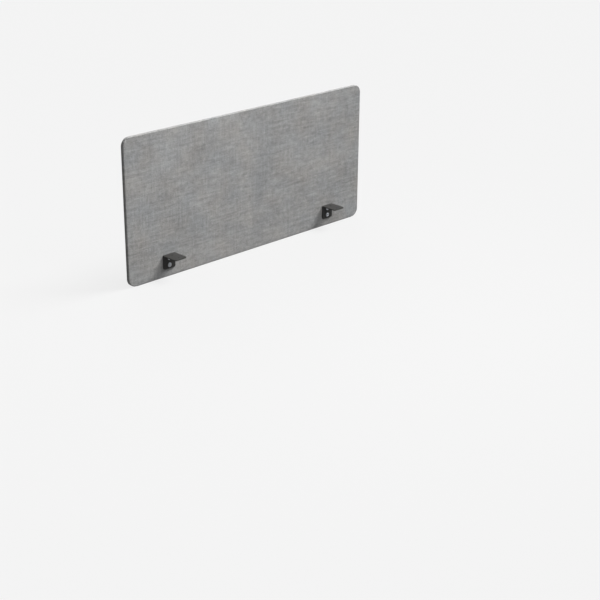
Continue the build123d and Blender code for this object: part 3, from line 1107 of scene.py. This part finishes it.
def makeHemStrip():
    middleX, middleY = middle(stripBox)[:2]
    halfLength, halfWidth = across(stripBox)[0] / 2, across(stripBox)[1] / 2
    straight = halfLength - halfWidth
    wavesAlong, wavesAcross = hemStrip["waves"]
    mesh = bmesh.new()
    grid = []
    for i in range(hemStrip["columns"] + 1):
        part = 2 * i / hemStrip["columns"] - 1
        x = halfLength * math.sin(part * math.pi / 2)
        over = max(0.0, abs(x) - straight) / halfWidth
        wide = halfWidth * math.sqrt(max(1 - over * over, hemStrip["endWidth"])) - hemStrip["edgeWave"]
        column = []
        for j in range(hemStrip["rows"] + 1):
            side = 2 * j / hemStrip["rows"] - 1
            edge = noise.noise(Vector((x * hemStrip["edgeWaves"], side, 5)))
            y = side * (wide + hemStrip["edgeWave"] * edge)
            lift = hemStrip["wave"] * (0.5 + 0.5 * noise.noise(Vector((x * wavesAlong, y * wavesAcross, 3))))
            sag = lift * (1 - side ** hemStrip["edgePower"])
            spot = (middleX + x, middleY + y, stripBox[1].z - hemStrip["gap"] - sag)
            column.append(mesh.verts.new(spot))
        grid.append(column)
    for a, b in zip(grid, grid[1:]):
        for j in range(hemStrip["rows"]):
            face = mesh.faces.new((a[j], b[j], b[j + 1], a[j + 1]))
            face.smooth = True
    piece = place("hem_strip", keepMesh("hem_strip", mesh), stripFelt)
    solid = piece.modifiers.new("tape", "SOLIDIFY")
    solid.thickness = hemStrip["thickness"]
    solid.offset = -1
    piece = settle(piece)
    finishPiece(piece, "bottom_strip", "bottom_strip")


stripFelt = fibreMaterial(
    "greyTapeFelt", (0.045, 0.045, 0.046, 1), (0.12, 0.12, 0.122, 1), 1100.0, 0.9, 0.00015
)
makeHemStrip()
print("hem strip made")


bracket = {
    "edge": 0.0005,  # rounding of the sheared steel's edges
    "edgeSegments": 3,
    "smoothUnder": 15,  # degrees between faces that shade as one
    "sharpOver": 50,  # degrees between faces whose edge is rounded
    "flatUnder": 0.5,  # degrees between faces that become one
    "weldUnder": 0.000001,
}


def makeBracket(cadNode, name):
    # the bent angle again, with its edges softened under the powder coat
    mesh = bmesh.new()
    mesh.from_mesh(frame["nodes"][cadNode].data)
    bmesh.ops.remove_doubles(mesh, verts=mesh.verts, dist=bracket["weldUnder"])
    flat = math.radians(bracket["flatUnder"])
    bmesh.ops.dissolve_limit(mesh, angle_limit=flat, verts=mesh.verts, edges=mesh.edges)
    piece = place(name, keepMesh(name, mesh), powderCoat)
    soft = piece.modifiers.new("edges", "BEVEL")
    soft.width = bracket["edge"]
    soft.segments = bracket["edgeSegments"]
    soft.limit_method = "ANGLE"
    soft.angle_limit = math.radians(bracket["sharpOver"])
    piece = settle(piece)
    smoothByAngle(piece, bracket["smoothUnder"])
    finishPiece(piece, "bracket_paint", cadNode)


powderCoat = powderCoatMaterial()
makeBracket("bracket_left", "left_angle")
makeBracket("bracket_right", "right_angle")
print("brackets made")


def dress(material, *cadNodes):
    for cadNode in cadNodes:
        for spot in frame["nodes"][cadNode].material_slots:
            spot.material = material


dress(timberMaterial("pineRail", "pine", (0.06, 1, 1)), "frame_top_rail", "frame_bottom_rail")
dress(timberMaterial("pineUpright", "pine", (1, 1, 0.06)),
      "frame_left_stile", "frame_right_stile", "frame_left_mullion", "frame_right_mullion")
dress(timberMaterial("beechDowel", "beech", (1, 1, 0.08)), "frame_dowels")
dress(plywoodMaterial(), "mounting_block_left", "mounting_block_right")
dress(fibreMaterial("pressedFibreBoard", (0.20, 0.20, 0.19, 1), (0.50, 0.49, 0.46, 1), 420.0, 0.95, 0.0004),
      "infill_left", "infill_centre", "infill_right")
dress(platedMaterial("yellowZinc", (0.66, 0.58, 0.38, 1), 400.0, 0.33), "tee_nuts")
dress(mouldedMaterial("whiteNylon", (0.66, 0.65, 0.61, 1), (0.74, 0.73, 0.69, 1), 0.38), "spacer_bushes")
print("frame materials made")


cameraPlace = {
    "fromFront": Vector((-3.4968, -3.7753, 1.78254)),  # from the panel's front, at the tabletop's surface
    "azimuth": -45.07,
    "elevation": 22.434,
    "roll": 0.48,
    "lens": 78.03,
    "sensor": 36,
    "farthest": 100,
}


def makeCamera():
    data = bpy.data.cameras.new("camera")
    data.lens = cameraPlace["lens"]
    data.sensor_width = cameraPlace["sensor"]
    data.clip_end = cameraPlace["farthest"]
    camera = place("camera", data)
    turn = Matrix.Rotation(math.radians(cameraPlace["azimuth"]), 4, "Z")
    tilt = Matrix.Rotation(math.radians(90 - cameraPlace["elevation"]), 4, "X")
    roll = Matrix.Rotation(math.radians(cameraPlace["roll"]), 4, "Z")
    start = Vector((panel["centreX"], panel["frontY"], panel["tabletopZ"]))
    camera.matrix_world = Matrix.Translation(start + cameraPlace["fromFront"]) @ turn @ tilt @ roll
    scene.camera = camera


studio = {
    "backdrop": 0.913,  # how pale the floor and the backdrop look
    "ambient": 0.29,
    "floorColour": 0.47,
    "floorShade": 0.12,  # how much of a shadow shows on the floor
    "floorSize": 60,
}

# distant soft lights: where each comes from, how wide it looks in degrees, and its strength
suns = {
    "key": {"towards": (1.0, -0.40, 1.30), "width": 26, "strength": 5.0},
    "rearFill": {"towards": (0.6, 1.0, 0.25), "width": 60, "strength": 2.5},
}

# a near soft box over the front, so the panel is a little paler towards its top
softBox = {
    "towards": (-0.12, -1.0, 1.0),
    "distance": 1.9,
    "size": 1.2,
    "power": 15,
}


def makeLamp(name, kind, power, towards, start=(0, 0, 0)):
    data = bpy.data.lights.new(name, kind)
    data.energy = power
    lamp = place(name, data)
    lamp.location = start
    lamp.rotation_mode = "QUATERNION"
    lamp.rotation_quaternion = (-Vector(towards)).to_track_quat("-Z", "Y")
    return data


def makeLights():
    for name, light in suns.items():
        makeLamp(name, "SUN", light["strength"], light["towards"]).angle = math.radians(light["width"])
    heart = Vector((panel["centreX"], panel["middleY"], panel["centreZ"]))
    start = heart + Vector(softBox["towards"]).normalized() * softBox["distance"]
    data = makeLamp("softBox", "AREA", softBox["power"], softBox["towards"], start)
    data.shape = "DISK"
    data.size = softBox["size"]


def makeWorld():
    world = bpy.data.worlds.new("studio")
    world.use_nodes = True
    tree = world.node_tree
    ray = node(tree, "ShaderNodeLightPath")
    level = blendNumber(tree, ray.outputs["Is Camera Ray"], studio["ambient"], studio["backdrop"])
    background = tree.nodes["Background"]
    background.inputs["Color"].default_value = (1, 1, 1, 1)
    tree.links.new(level, background.inputs["Strength"])
    scene.world = world


def grey(level):
    return (level, level, level, 1)


def makeFloor():
    size, z = studio["floorSize"] / 2, cadBox[0].z
    data = bpy.data.meshes.new("floor")
    corners = [(-size, -size, z), (size, -size, z), (size, size, z), (-size, size, z)]
    data.from_pydata(corners, [], [(0, 1, 2, 3)])
    material, tree, surface = newMaterial("paleFloor", Roughness=1.0)
    surface.inputs["Base Color"].default_value = grey(studio["floorColour"])
    surface.inputs["Specular IOR Level"].default_value = 0.0
    glow = node(tree, "ShaderNodeEmission", {"Color": grey(studio["backdrop"])})
    shown = node(tree, "ShaderNodeMixShader", {
        0: studio["floorShade"], 1: glow.outputs[0], 2: surface.outputs[0],
    })
    # only what looks down on the floor meets it, so soft light also comes from below
    clear = node(tree, "ShaderNodeBsdfTransparent")
    ray = node(tree, "ShaderNodeLightPath")
    side = node(tree, "ShaderNodeNewGeometry")
    fromAbove = calc(tree, "SUBTRACT", ray.outputs["Is Camera Ray"], side.outputs["Backfacing"])
    both = node(tree, "ShaderNodeMixShader", {0: fromAbove, 1: clear.outputs[0], 2: shown.outputs[0]})
    feed(tree, tree.nodes["Material Output"].inputs["Surface"], both.outputs[0])
    place("floor", data, material)


makeCamera()
makeLights()
makeWorld()
makeFloor()
scene.view_settings.view_transform = "Standard"
print("studio made")
